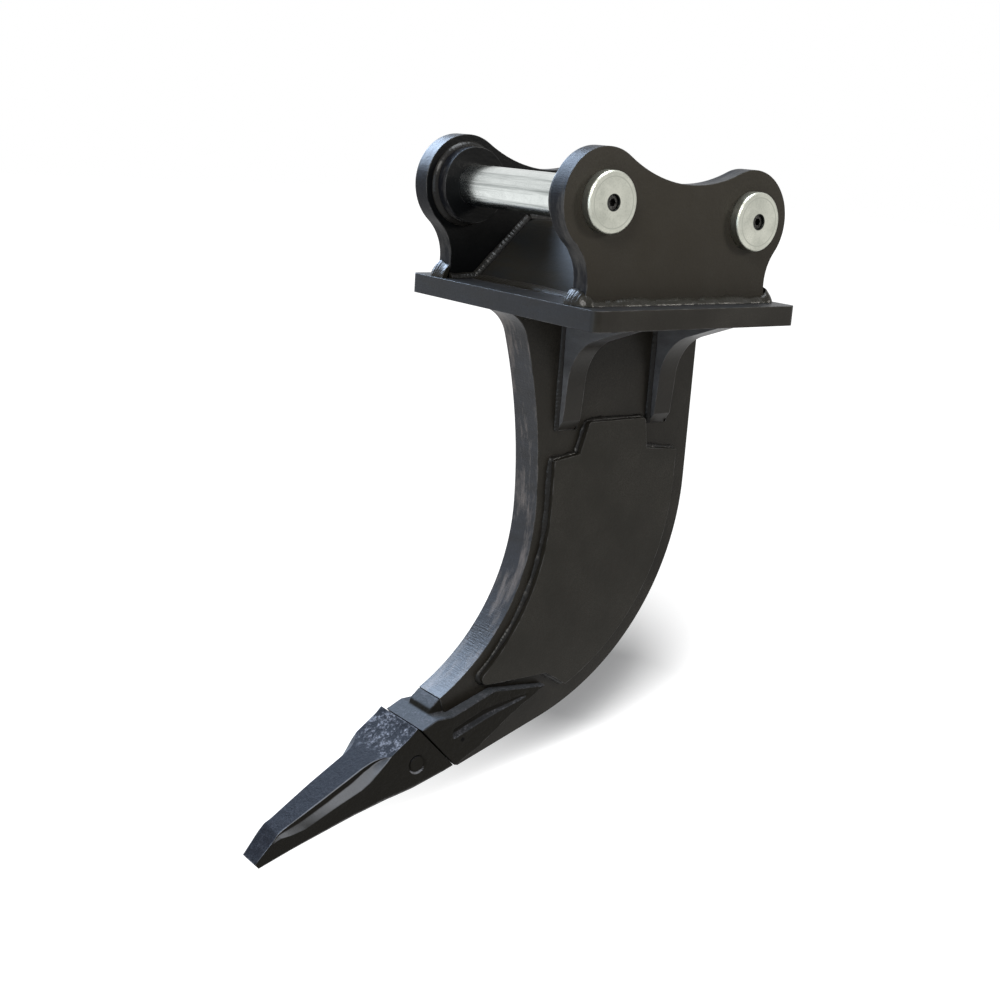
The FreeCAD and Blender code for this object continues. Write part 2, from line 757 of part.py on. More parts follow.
def build():
    pieces = {
        "base_plate": base_plate(),
        "ear_left": ear_left(),
        "ear_right": mirrored(ear_left()),
        "brace": brace(),
        "shank": shank(),
        "doubler_left": doubler_left(),
        "doubler_right": mirrored(doubler_left()),
        "adapter": adapter(),
        "tooth_point": tooth_point(),
        "tooth_pin": tooth_pin(),
        "tooth_pin_retainer": tooth_pin_retainer(),
        "brace_welds": brace_welds(),
        "ear_weld_left": ear_weld_left(),
        "ear_weld_right": mirrored(ear_weld_left()),
    }
    for end, place in (("front", front_pin), ("rear", rear_pin)):
        pieces[end + "_pin"] = pin_shaft(place)
        for name, maker in (("boss", boss_left), ("cap", pin_cap_left)):
            pieces[end + "_" + name + "_left"] = maker(place)
            pieces[end + "_" + name + "_right"] = mirrored(maker(place))
    for end, place in (("front", gusset_front_place), ("rear", gusset_rear_place)):
        pieces[end + "_gusset_left"] = gusset_left(place)
        pieces[end + "_gusset_right"] = mirrored(gusset_left(place))
    bolts = [cap_bolt_left(place) for place in (front_pin, rear_pin)]
    pieces["cap_bolts"] = group(bolts + [mirrored(bolt) for bolt in bolts])
    return pieces


os.makedirs("parts", exist_ok=True)
for name, shape in build().items():
    shape.exportStep("parts/" + name + ".step")
    print(name, shape.isValid(), round(shape.Volume), len(shape.Solids))
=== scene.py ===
import bmesh
import bpy
import math
import numpy as np
from mathutils import Matrix, Vector


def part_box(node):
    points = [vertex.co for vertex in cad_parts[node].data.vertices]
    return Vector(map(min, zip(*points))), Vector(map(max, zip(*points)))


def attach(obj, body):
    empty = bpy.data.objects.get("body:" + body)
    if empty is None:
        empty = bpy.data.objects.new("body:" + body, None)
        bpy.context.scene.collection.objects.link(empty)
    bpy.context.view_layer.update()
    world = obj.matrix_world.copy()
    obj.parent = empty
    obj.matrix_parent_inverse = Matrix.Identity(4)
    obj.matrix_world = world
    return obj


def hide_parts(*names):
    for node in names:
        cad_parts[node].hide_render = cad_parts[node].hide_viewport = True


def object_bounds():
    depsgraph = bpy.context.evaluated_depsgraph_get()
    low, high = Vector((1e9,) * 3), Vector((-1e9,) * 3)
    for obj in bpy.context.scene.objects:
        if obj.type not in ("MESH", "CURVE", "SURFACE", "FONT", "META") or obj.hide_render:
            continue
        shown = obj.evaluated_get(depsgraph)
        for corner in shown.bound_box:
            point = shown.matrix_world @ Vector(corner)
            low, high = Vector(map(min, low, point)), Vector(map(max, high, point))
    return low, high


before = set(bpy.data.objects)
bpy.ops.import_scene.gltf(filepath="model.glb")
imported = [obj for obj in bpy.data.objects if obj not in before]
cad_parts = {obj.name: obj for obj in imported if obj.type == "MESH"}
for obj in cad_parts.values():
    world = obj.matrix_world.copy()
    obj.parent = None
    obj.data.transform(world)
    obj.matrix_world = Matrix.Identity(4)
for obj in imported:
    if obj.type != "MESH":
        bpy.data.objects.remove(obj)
cad_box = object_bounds()
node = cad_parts

# Base plate: 24 mm flame-cut steel plate, sprayed with one coat of satin black like all the welded
# steel of the ripper. The coat has a fine orange peel on flat faces, keeps the cutting streaks of
# the edges, gathers pale dust in patches and is rubbed thin along the corners.
PAINT_DARK = (0.0080, 0.0070, 0.0052, 1)
PAINT_DUSTY = (0.020, 0.0185, 0.0155, 1)
PAINT_RUBBED = (0.060, 0.060, 0.060, 1)
PAINT_GLOSS = 0.13
PEEL_PER_M = 260
WAVE_PER_M = 38
PATCH_PER_M = 11
SPECK_PER_M = 900
RUB_PER_M = 60
CLOUD_PER_M = (20, 60, 60)
BLOTCH_PER_M = (42, 11, 11)
STREAK_PER_M = (45, 620, 620)
EDGE_TURN = (0.25, 0.6)
INNER_FADE = 0.0005
CORNER_ROUND = 0.0012
CORNER_MATCH = (0.995, 0.90)
RUB_REACH = CORNER_ROUND * 1.6


def add(tree, kind, inputs=(), **settings):
    """One shader node: settings are its options; inputs pairs a socket with a value or a socket."""
    made = tree.nodes.new("ShaderNode" + kind)
    for key, value in settings.items():
        setattr(made, key, value)
    for socket, value in dict(inputs).items():
        if isinstance(value, bpy.types.NodeSocket):
            tree.links.new(value, made.inputs[socket])
        else:
            made.inputs[socket].default_value = value
    return made


def new_finish(name):
    """An empty node material; gives its tree, the surface shader and the object's own coordinates."""
    made = bpy.data.materials.new(name)
    made.use_nodes = True
    tree = made.node_tree
    surface = tree.nodes["Principled BSDF"]
    place = add(tree, "TexCoord").outputs["Object"]
    return made, tree, surface, place


def noise(tree, place, per_m, detail=3.0, rough=0.5):
    """Cloudy noise with about per_m lumps to the metre."""
    inputs = {"Vector": place, "Scale": per_m, "Detail": detail, "Roughness": rough}
    return add(tree, "TexNoise", inputs).outputs[0]


def remap(tree, value, low, high, out_low=0.0, out_high=1.0):
    """Stretches value from low..high to out_low..out_high and holds it inside."""
    inputs = {0: value, 1: low, 2: high, 3: out_low, 4: out_high}
    return add(tree, "MapRange", inputs).outputs[0]


def stretched(tree, place, scale, shift=(0, 0, 0)):
    """The coordinates moved by shift and then scaled by a factor for each axis."""
    moved = add(tree, "VectorMath", {0: place, 1: shift}, operation="ADD").outputs[0]
    return add(tree, "VectorMath", {0: moved, 1: scale}, operation="MULTIPLY").outputs[0]


def part_of(tree, vector, axis):
    """The number that a vector has along one axis."""
    return add(tree, "SeparateXYZ", {0: vector}).outputs[axis]


def blend_colour(tree, share, first, second):
    """First times (1 - share), plus second times share."""
    return add(tree, "Mix", {"Factor": share, 6: first, 7: second}, data_type="RGBA").outputs[2]


def maths(tree, operation, first, second=0.0):
    """The sum, product or other function of two numbers that operation names."""
    return add(tree, "Math", {0: first, 1: second}, operation=operation).outputs[0]


def bump(tree, height, strength, depth, under=None):
    """The normal under, tilted as if height raised the surface by up to depth, at this strength."""
    inputs = {"Height": height, "Strength": strength, "Distance": depth}
    if under is not None:
        inputs["Normal"] = under
    return add(tree, "Bump", inputs).outputs[0]


def rounded(tree, radius, samples=6):
    """The normal of the surface with its corners rounded to radius."""
    return add(tree, "Bevel", {"Radius": radius}, samples=samples).outputs[0]


def corner_share(tree, radius):
    """0 on flat faces and 1 on corners: how far the normal turns when corners are rounded."""
    soft = rounded(tree, radius)
    flat = add(tree, "NewGeometry").outputs["True Normal"]
    match = add(tree, "VectorMath", {0: soft, 1: flat}, operation="DOT_PRODUCT").outputs["Value"]
    return remap(tree, match, *CORNER_MATCH)


def paint(name, dark=PAINT_DARK, dusty=PAINT_DUSTY, gloss=PAINT_GLOSS, rough=0.36, peel=0.10, streaks=0.35,
          edge=PAINT_DARK, inner=None, inner_reach=0.0, rubbed=0.75, blotch=None):
    """Satin black coat.

    streaks is how strongly the flame-cut edges show through it. edge is the colour of every face not
    turned to a side, the cut edges and the tops: their own tone with a painted bluish sky light. blotch is
    that of paler patches on them. inner is the colour of what lies nearer the middle plane than
    inner_reach, a painted shade, and rubbed how far the corners are rubbed pale.
    """
    made, tree, surface, place = new_finish(name)
    normal = add(tree, "NewGeometry").outputs["True Normal"]
    # Faces not turned to a side: the cut edges and the tops. Their edge colour is partly a painted bluish sky
    # light.
    cut_and_sky_lit_faces = remap(tree, maths(tree, "ABSOLUTE", part_of(tree, normal, "X")), *EDGE_TURN, 1.0, 0.0)
    patch = noise(tree, place, PATCH_PER_M, 5.0, 0.6)
    speck = noise(tree, place, SPECK_PER_M, 2.0)
    dust = maths(tree, "MULTIPLY", remap(tree, patch, 0.42, 0.72), remap(tree, speck, 0.40, 0.66))
    colour = blend_colour(tree, dust, dark, dusty)
    # Painted shade: all that lies nearer the middle plane than inner_reach takes the darker inner colour.
    if inner:
        reach = maths(tree, "ABSOLUTE", part_of(tree, place, "X"))
        inside = remap(tree, reach, inner_reach, inner_reach - INNER_FADE)
        colour = blend_colour(tree, inside, colour, inner)
    cloud = noise(tree, stretched(tree, place, CLOUD_PER_M), 1.0, 4.0, 0.6)
    clouded = maths(tree, "MULTIPLY", cut_and_sky_lit_faces, remap(tree, cloud, 0.3, 0.7, 0.55, 1.0))
    colour = blend_colour(tree, clouded, colour, edge)
    if blotch:
        spots = noise(tree, stretched(tree, place, BLOTCH_PER_M), 1.0, 6.0, 0.68)
        spotted = maths(tree, "MULTIPLY", cut_and_sky_lit_faces, remap(tree, spots, 0.50, 0.64))
        colour = blend_colour(tree, spotted, colour, blotch)
    touched = remap(tree, noise(tree, place, RUB_PER_M, 4.0), 0.42, 0.62)
    worn = maths(tree, "MULTIPLY", corner_share(tree, RUB_REACH), touched)
    colour = blend_colour(tree, maths(tree, "MULTIPLY", worn, rubbed), colour, PAINT_RUBBED)
    tree.links.new(colour, surface.inputs["Base Color"])
    roughness = remap(tree, patch, 0.3, 0.7, rough - 0.05, rough + 0.09)
    tree.links.new(roughness, surface.inputs["Roughness"])
    surface.inputs["Specular IOR Level"].default_value = gloss
    streak = noise(tree, stretched(tree, place, STREAK_PER_M), 1.0, 3.0, 0.6)
    streak = maths(tree, "MULTIPLY", maths(tree, "MULTIPLY", streak, cut_and_sky_lit_faces), streaks)
    wavy = bump(tree, noise(tree, place, WAVE_PER_M, 2.0), 0.10, 0.004, rounded(tree, CORNER_ROUND))
    peeled = bump(tree, noise(tree, place, PEEL_PER_M, 3.0), peel, 0.0015, wavy)
    lined = bump(tree, streak, 0.5, 0.0012, peeled)
    tree.links.new(lined, surface.inputs["Normal"])
    return made


def wear(names, finish):
    """Gives CAD nodes a finish in place of their plain one."""
    for name in names:
        node[name].data.materials.clear()
        node[name].data.materials.append(finish)


# The plate's edges and top take its bluish edge colour, which is partly a painted sky light.
plate_paint = paint("black_paint_plate", rough=0.40, edge=(0.011, 0.012, 0.014, 1))
wear(["base_plate"], plate_paint)
PLATE_LOW, PLATE_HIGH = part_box("base_plate")
PLATE_TOP = PLATE_HIGH.z
PLATE_BOTTOM = PLATE_LOW.z

# Ears: two 24 mm plates flame cut to two pin lobes with a saddle between them, welded upright on the
# base plate by a thick fillet all round their feet, and bossed on the inside round each pin.
SIDES = (("left", 1.0), ("right", -1.0))
ENDS = ("front", "rear")
# The ears' outer faces are painted lighter, as lit, and their inner faces and bosses near-black, as the shade
# between the ears.
ear_paint = paint("black_paint_ears", dark=(0.0165, 0.0145, 0.0110, 1), rough=0.38, peel=0.14, gloss=0.07,
                  edge=(0.0040, 0.0044, 0.0058, 1), inner=(0.0018, 0.0020, 0.0022, 1), inner_reach=0.1435,
                  blotch=(0.026, 0.025, 0.024, 1))
wear([piece + side for piece in ("ear_", "front_boss_", "rear_boss_") for side, _ in SIDES], ear_paint)
EAR_LOW, EAR_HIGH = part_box("ear_left")
EAR_INNER = EAR_LOW.x
EAR_OUTER = EAR_HIGH.x
EAR_FOOT_FRONT = -0.018
EAR_FOOT_REAR = 0.2760
FOOT_TURN = 0.004
FOOT_END = 0.014
FOOT_STEP = 0.002
EAR_BEAD = 0.0095
BEAD_PITCH = 0.0058
BEAD_ROWS = 7
BEAD_FULLNESS = 1.45
BEAD_SIDES = 9
BEAD_ROOT = 0.0006
SLOW_SWELL = 0.021
QUICK_SWELL = 0.007
RIPPLE_DRIFT = 0.013
SMOOTH_BELOW = math.radians(50)


def resample(points, step):
    """Points spaced evenly, step apart, along the straight runs between the given points."""
    points = np.asarray(points, float)
    runs = np.linalg.norm(np.diff(points, axis=0), axis=1)
    along = np.concatenate([[0.0], np.cumsum(runs)])
    count = max(int(along[-1] / step), 3)
    where = np.linspace(0.0, along[-1], count + 1)
    return np.stack([np.interp(where, along, points[:, k]) for k in range(3)], 1), where


def refit(values, count):
    """A row of values spread over count places, by straight lines between them."""
    return np.interp(np.linspace(0, 1, count), np.linspace(0, 1, len(values)), values)


def surface_mesh(name, grid, closed_along, finish):
    """A closed skin over a grid of points: rows follow the length, columns go round the section."""
    rows, columns, _ = grid.shape
    index = np.arange(rows * columns).reshape(rows, columns)
    ahead = np.roll(index, -1, axis=0)
    last = rows if closed_along else rows - 1
    beside = np.roll(index, -1, axis=1)
    corner = np.roll(ahead, -1, axis=1)
    quads = np.stack([index, beside, corner, ahead], -1)[:last].reshape(-1, 4)
    faces = quads.tolist()
    if not closed_along:
        faces.append(index[0, ::-1].tolist())
        faces.append(index[-1].tolist())
    mesh = bpy.data.meshes.new(name)
    mesh.from_pydata(grid.reshape(-1, 3).tolist(), [], faces)
    shape = bmesh.new()
    shape.from_mesh(mesh)
    bmesh.ops.recalc_face_normals(shape, faces=shape.faces)
    shape.to_mesh(mesh)
    shape.free()
    mesh.shade_smooth()
    mesh.set_sharp_from_angle(angle=SMOOTH_BELOW)
    mesh.materials.append(finish)
    piece = bpy.data.objects.new(name, mesh)
    bpy.context.scene.collection.objects.link(piece)
    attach(piece, "root")
    return piece


def uneven(along, every, seed, closed):
    """A slow random wave along a run, between -1 and 1, with a new value at each step of every."""
    count = max(int(along[-1] / every), 3) + 1
    knots = np.random.default_rng(int(abs(seed) * 997) + 5).uniform(-1, 1, count)
    if closed:
        knots[-1] = knots[0]
    return np.interp(along, np.linspace(0, along[-1], count), knots)


def bead(name, corner, wall_a, wall_b, leg, finish, closed=False, seed=0.0, swell=None, lumpy=0.16,
         ripples=1.0):
    """A fillet weld in the corner between two walls.

    The section is a bulged quarter: leg times (a cos^k + b sin^k) for an angle from 0 to 90 degrees.
    Each ripple is a rounded step along the run, curved forward in the middle of the section, and the
    leg itself swells and shrinks at random by the share lumpy. swell scales it along the run.
    """
    path, along = resample(corner, BEAD_PITCH / BEAD_ROWS)
    a, b = (np.stack([refit(wall[:, k], len(path)) for k in range(3)], 1) for wall in (wall_a, wall_b))
    if closed:
        path, along, a, b = path[:-1], along[:-1], a[:-1], b[:-1]
    turn = np.linspace(0, np.pi / 2, BEAD_SIDES)
    bulge = np.sin(2 * turn)
    slow = uneven(along, SLOW_SWELL, seed + 0.3, closed)
    quick = uneven(along, QUICK_SWELL, seed + 0.7, closed)
    wander = 1 + lumpy * (0.65 * slow + 0.35 * quick)
    if swell is not None:
        wander *= refit(swell, len(along))
    shift = 0.9 * uneven(along, RIPPLE_DRIFT, seed + 1.1, closed)
    phase = along[:, None] / BEAD_PITCH + 0.4 * bulge[None, :] + shift[:, None]
    step = 1 - (phase % 1.0)
    ripple = 1 + ripples * (0.16 * np.sqrt(step) - 0.09) * bulge[None, :]
    size = leg * wander[:, None] * ripple
    share_a = np.cos(turn) ** BEAD_FULLNESS
    share_b = np.sin(turn) ** BEAD_FULLNESS
    skin = path[:, None] + size[..., None] * (a[:, None] * share_a[:, None] + b[:, None] * share_b[:, None])
    root = path - BEAD_ROOT * (a + b)
    return surface_mesh(name, np.concatenate([skin, root[:, None]], 1), closed, finish)


def along_line(count, direction):
    """The same direction for each of count points."""
    return np.tile(np.asarray(direction, float), (count, 1))


ear_weld_paint = paint("black_paint_ear_welds", dark=(0.011, 0.0102, 0.0078, 1), rough=0.26, peel=0.30,
                       dusty=(0.016, 0.015, 0.012, 1), streaks=0.0, gloss=0.16, rubbed=0.05)
weld_paint = paint("black_paint_welds", dark=(0.0055, 0.0052, 0.0048, 1), rough=0.30, peel=0.10,
                   dusty=(0.012, 0.0115, 0.010, 1), streaks=0.0, gloss=0.12, rubbed=0.10)
for side, sign in SIDES:
    # Round the foot from the inner front corner, along the outside, to the inner rear corner.
    outer = np.array([
        (EAR_INNER * sign, EAR_FOOT_FRONT, PLATE_TOP),
        ((EAR_OUTER - FOOT_TURN) * sign, EAR_FOOT_FRONT, PLATE_TOP),
        (EAR_OUTER * sign, EAR_FOOT_FRONT + FOOT_TURN, PLATE_TOP),
        (EAR_OUTER * sign, EAR_FOOT_REAR - FOOT_TURN, PLATE_TOP),
        ((EAR_OUTER - FOOT_TURN) * sign, EAR_FOOT_REAR, PLATE_TOP),
        (EAR_INNER * sign, EAR_FOOT_REAR, PLATE_TOP),
    ])
    evened, _ = resample(outer, FOOT_STEP)
    y = evened[:, 1]
    ahead = np.clip((EAR_FOOT_FRONT + FOOT_TURN - y) / FOOT_TURN, 0, 1)
    behind = np.clip((y - EAR_FOOT_REAR + FOOT_TURN) / FOOT_TURN, 0, 1)
    away = np.stack([sign * (1 - np.maximum(ahead, behind)), behind - ahead, 0 * ahead], 1)
    away /= np.linalg.norm(away, axis=1)[:, None]
    past = np.maximum(EAR_FOOT_FRONT + FOOT_END - y, y - EAR_FOOT_REAR + FOOT_END)
    ends = np.clip(past / FOOT_END, 0, 1)
    up = along_line(len(evened), (0, 0, 1)) * (1 + 0.5 * ends[:, None])
    piece = bead("ear_foot_bead_" + side, evened, away, up, EAR_BEAD, ear_weld_paint, seed=1.0 + sign,
                 swell=0.85 + 0.35 * ends, lumpy=0.30, ripples=0.20)
    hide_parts("ear_weld_" + side)

# Bosses: turned steel rings on the inside of the ears, which give each pin a longer bearing. Each one
# is tied to its ear by a single ring of weld.
BOSS_BEAD = 0.0058
BOSS_STEPS = 160
for end in ENDS:
    for side, sign in SIDES:
        low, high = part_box(end + "_boss_" + side)
        centre = (low + high) / 2
        radius = (high.z - low.z) / 2
        angle = np.linspace(0, 2 * np.pi, BOSS_STEPS + 1)
        radial = np.stack([0 * angle, np.cos(angle), np.sin(angle)], 1)
        ring = np.array([EAR_INNER * sign, centre.y, centre.z]) + radius * radial
        inward = along_line(len(ring), (-sign, 0, 0))
        bead("%s_boss_bead_%s" % (end, side), ring, radial, inward, BOSS_BEAD, weld_paint, closed=True,
             seed=sign, lumpy=0.12, ripples=0.35)

# Brace: a 14 mm plate bent over two edges, standing on the base plate between the ears. It is welded
# along both feet and up both sides, and its colour is tinted blue all over as a painted reflection of the
# sky.
brace_paint = paint("black_paint_brace", dark=(0.0052, 0.0066, 0.0088, 1), rough=0.36, peel=0.05,
                    dusty=(0.0095, 0.0110, 0.0130, 1), streaks=0.1, gloss=0.06)
wear(["brace"], brace_paint)
BRACE_LOW, BRACE_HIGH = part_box("brace")
BRACE_RUN = 0.080
BRACE_BEAD = 0.0078
INNER_BEAD = 0.0065


def straight_bead(name, start, end, wall_a, wall_b, leg, seed):
    """A bead on the straight run from start to end, between walls that leave it in two directions."""
    run = np.array([start, end])
    return bead(name, run, along_line(2, wall_a), along_line(2, wall_b), leg, weld_paint, seed=seed)


foot_front = np.array([BRACE_LOW.y, PLATE_TOP])
foot_rear = np.array([BRACE_HIGH.y, PLATE_TOP])
knee_front = np.array([BRACE_LOW.y + BRACE_RUN, BRACE_HIGH.z])
knee_rear = np.array([BRACE_HIGH.y - BRACE_RUN, BRACE_HIGH.z])
rise = BRACE_HIGH.z - PLATE_TOP
slope = np.array([BRACE_RUN, rise]) / math.hypot(BRACE_RUN, rise)
foot_beads = [
    straight_bead("brace_foot_bead_%d" % number, (EAR_INNER, *foot), (-EAR_INNER, *foot),
                  (0, -way, 0), (0, way * slope[0], slope[1]), BRACE_BEAD, way)
    for number, foot, way in ((1, foot_front, 1.0), (2, foot_rear, -1.0))
]
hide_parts("brace_welds")
for side, sign in SIDES:
    wall = EAR_INNER * sign
    for part, start, end, normal in (
        ("front", foot_front, knee_front, (-slope[1], slope[0])),
        ("top", knee_front, knee_rear, (0.0, 1.0)),
        ("rear", knee_rear, foot_rear, (slope[1], slope[0])),
    ):
        straight_bead("brace_side_bead_%s_%s" % (part, side), (wall, *start), (wall, *end),
                      (-sign, 0, 0), (0, *normal), INNER_BEAD, sign * 3)
    for part, start, end in (("front", EAR_FOOT_FRONT, BRACE_LOW.y), ("rear", BRACE_HIGH.y, EAR_FOOT_REAR)):
        straight_bead("ear_inner_bead_%s_%s" % (part, side), (wall, start, PLATE_TOP), (wall, end, PLATE_TOP),
                      (-sign, 0, 0), (0, 0, 1), INNER_BEAD, sign * 5)

# Pins and caps: ground steel with zinc plating. The plating is pale and slightly green, cloudy where
# it was handled, with fine turning rings on the caps and grinding lines round the pins.
CAP_LIGHT = (0.57, 0.575, 0.50, 1)
CAP_DULL = (0.36, 0.37, 0.32, 1)
PIN_LIGHT = (0.72, 0.755, 0.74, 1)
PIN_DULL_AND_SHADED_BANDS = (0.10, 0.12, 0.118, 1)
RECESS_SHADE = (0.012, 0.013, 0.012, 1)
RECESS_RADIUS = 0.0101
GROOVE_RADIUS = 0.0285
GROOVE_HALF = (0.0004, 0.0011)
RECESS_FADE = 0.0007
RINGS_PER_M = 2600.0
LINES_PER_M = 1500.0
MARKS_PER_M = 42
GRAINS_PER_M = 520
REFLECTION_BAND_SPREAD = 2.6


def stripes(tree, value, per_m, detail):
    """Noise that changes only with one value, about per_m times in each unit of it."""
    inputs = {"W": maths(tree, "MULTIPLY", value, per_m), "Scale": 1.0, "Detail": detail}
    return add(tree, "TexNoise", inputs, noise_dimensions="1D").outputs[0]


def zinc(name, centre, light, dull, streaks, rounding, handled, shine):
    """Plated steel turned about the X axis through centre.

    Rings follow the distance from the axis. Bands of painted reflection run along it: they follow the angle
    round the axis and change slowly along it, and streaks is their share. rounding is how far from
    an edge the light already bends round it, handled the share of the cloudy marks and shine the
    roughness of the cleanest spots. Near the axis the colour is a painted shade of the recess.
    """
    made, tree, surface, place = new_finish(name)
    flat = stretched(tree, place, (0, 1, 1), (0, -centre[0], -centre[1]))
    reach = add(tree, "VectorMath", {0: flat}, operation="LENGTH").outputs["Value"]
    along = part_of(tree, place, "X")
    cloud = noise(tree, place, MARKS_PER_M, 5.0, 0.65)
    speck = remap(tree, noise(tree, place, GRAINS_PER_M, 3.0), 0.5, 0.75, 0.0, 0.4)
    share = maths(tree, "ADD", remap(tree, cloud, 0.35, 0.7, 0.0, 0.7), speck)
    share = maths(tree, "MULTIPLY", share, handled)
    angle = maths(tree, "ARCTAN2", part_of(tree, flat, "Z"), part_of(tree, flat, "Y"))
    spot = add(tree, "CombineXYZ", {"X": along, "Y": angle}).outputs[0]
    # Painted reflection: lighter and darker bands round the axis, stretched along it.
    reflection_band = noise(tree, spot, REFLECTION_BAND_SPREAD, 5.0, 0.7)
    share = maths(tree, "MAXIMUM", share, remap(tree, reflection_band, 0.47, 0.64, 0.0, streaks))
    off_groove = maths(tree, "ABSOLUTE", maths(tree, "SUBTRACT", reach, GROOVE_RADIUS))
    share = maths(tree, "MAXIMUM", share, remap(tree, off_groove, *GROOVE_HALF, 0.9, 0.0))
    colour = blend_colour(tree, share, light, dull)
    # Painted shade: near the axis, inside the recess, the colour turns almost black.
    recess = remap(tree, reach, RECESS_RADIUS, RECESS_RADIUS - RECESS_FADE)
    colour = blend_colour(tree, recess, colour, RECESS_SHADE)
    tree.links.new(colour, surface.inputs["Base Color"])
    surface.inputs["Metallic"].default_value = 1.0
    tree.links.new(remap(tree, cloud, 0.3, 0.7, shine, shine + 0.10), surface.inputs["Roughness"])
    turned = bump(tree, stripes(tree, reach, RINGS_PER_M, 3.0), 0.16, 0.0005, rounded(tree, rounding, 8))
    ground = bump(tree, stripes(tree, along, LINES_PER_M, 2.0), 0.08, 0.0005, turned)
    tree.links.new(ground, surface.inputs["Normal"])
    return made


# Each pin carries long bands of painted reflection, lighter and darker, round its axis; the caps carry none.
for end in ENDS:
    low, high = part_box(end + "_pin")
    centre = ((low.y + high.y) / 2, (low.z + high.z) / 2)
    pin_zinc = zinc("zinc_plate_%s_pin" % end, centre, PIN_LIGHT, PIN_DULL_AND_SHADED_BANDS, streaks=0.62, rounding=0.0008,
                    handled=0.25, shine=0.19)
    cap_zinc = zinc("zinc_plate_%s_caps" % end, centre, CAP_LIGHT, CAP_DULL, streaks=0.0, rounding=0.0042,
                    handled=1.0, shine=0.26)
    wear([end + "_pin"], pin_zinc)
    wear([end + "_cap_left", end + "_cap_right"], cap_zinc)

# Cap bolts: blackened socket head screws, one sunk in the middle of each cap, which they clamp to the
# end of its pin. Their sockets are a little oily.
BOLT_BLACK = (0.012, 0.012, 0.012, 1)
BOLT_GREY = (0.07, 0.07, 0.066, 1)
BOLT_GRAINS_PER_M = 700
BOLT_OIL_PER_M = 300
bolt_finish, tree, surface, place = new_finish("blackened_bolts")
worn = remap(tree, noise(tree, place, BOLT_GRAINS_PER_M, 3.0), 0.4, 0.7)
tree.links.new(blend_colour(tree, worn, BOLT_BLACK, BOLT_GREY), surface.inputs["Base Color"])
surface.inputs["Metallic"].default_value = 1.0
oiled = remap(tree, noise(tree, place, BOLT_OIL_PER_M), 0.3, 0.7, 0.3, 0.5)
tree.links.new(oiled, surface.inputs["Roughness"])
wear(["cap_bolts"], bolt_finish)

# Shank: a 45 mm thick blade, flame cut to a long hook, so its narrow faces carry cutting streaks
# across them. The coat there has paler brownish patches, and a bluish tint that is painted sky light.
shank_paint = paint("black_paint_shank", rough=0.35, peel=0.16, streaks=0.5, edge=(0.017, 0.018, 0.021, 1),
                    blotch=(0.068, 0.060, 0.056, 1))
wear(["shank"], shank_paint)
SHANK_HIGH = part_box("shank")[1]
SHANK_HALF = SHANK_HIGH.x
SHANK_ROOT = PLATE_LOW.y + 0.026
REAR_LEAN = 0.35
SHANK_BEAD = 0.0080
for side, sign in SIDES:
    x = SHANK_HALF * sign
    straight_bead("shank_root_bead_" + side, (x, SHANK_ROOT, PLATE_BOTTOM), (x, SHANK_HIGH.y, PLATE_BOTTOM),
                  (sign, 0, 0), (0, 0, -1), SHANK_BEAD, sign * 7)
straight_bead("shank_rear_bead", (SHANK_HALF, SHANK_HIGH.y, PLATE_BOTTOM),
              (-SHANK_HALF, SHANK_HIGH.y, PLATE_BOTTOM), (0, REAR_LEAN, 0), (0, 0, -1), SHANK_BEAD, 4)

# Doublers: 10 mm wear plates laid on the blade's sides and welded all round, with a stepped top that
# clears the gussets.
doubler_paint = paint("black_paint_doublers", dark=(0.0080, 0.0072, 0.0052, 1), rough=0.42, peel=0.13)
wear(["doubler_left", "doubler_right"], doubler_paint)
DOUBLER_BEAD = 0.0043
RIM_STEP = 0.003


def rim(name, x):
    """The outline of a node's flat face at x, in order: edges of only one triangle of that face."""
    mesh = node[name].data
    points = np.array([v.co for v in mesh.vertices])
    mesh.calc_loop_triangles()
    tris = np.array([t.vertices for t in mesh.loop_triangles])
    keys, same = np.unique(np.round(points * 1e5).astype(int), axis=0, return_inverse=True)
    merged = same.reshape(-1)[tris]
    spots = keys / 1e5
    flat = merged[(np.abs(spots[merged][:, :, 0] - x) < 1e-4).all(1)]
    edges = np.concatenate([flat[:, [0, 1]], flat[:, [1, 2]], flat[:, [2, 0]]])
    code = np.sort(edges, axis=1)
    _, first, times = np.unique(code, axis=0, return_index=True, return_counts=True)
    following = {a: b for a, b in edges[first[times == 1]].tolist()}
    start = max(following, key=lambda k: spots[k][2])
    loop = [start]
    while following[loop[-1]] != start and len(loop) <= len(following):
        loop.append(following[loop[-1]])
    return spots[loop + [start]]


for side, sign in SIDES:
    loop, _ = resample(rim("doubler_" + side, SHANK_HALF * sign), RIM_STEP)
    way = np.roll(loop[:-1], -1, axis=0) - np.roll(loop[:-1], 1, axis=0)
    out = np.stack([0 * way[:, 0], way[:, 2], -way[:, 1]], 1)
    out /= np.linalg.norm(out, axis=1)[:, None]
    middle = loop[:-1].mean(0)
    if ((loop[:-1] - middle) * out).sum() < 0:
        out = -out
    out = np.concatenate([out, out[:1]])
    off_side = along_line(len(out), (sign, 0, 0))
    bead("doubler_bead_" + side, loop, out, off_side, DOUBLER_BEAD, weld_paint, closed=True, seed=sign,
         lumpy=0.50)

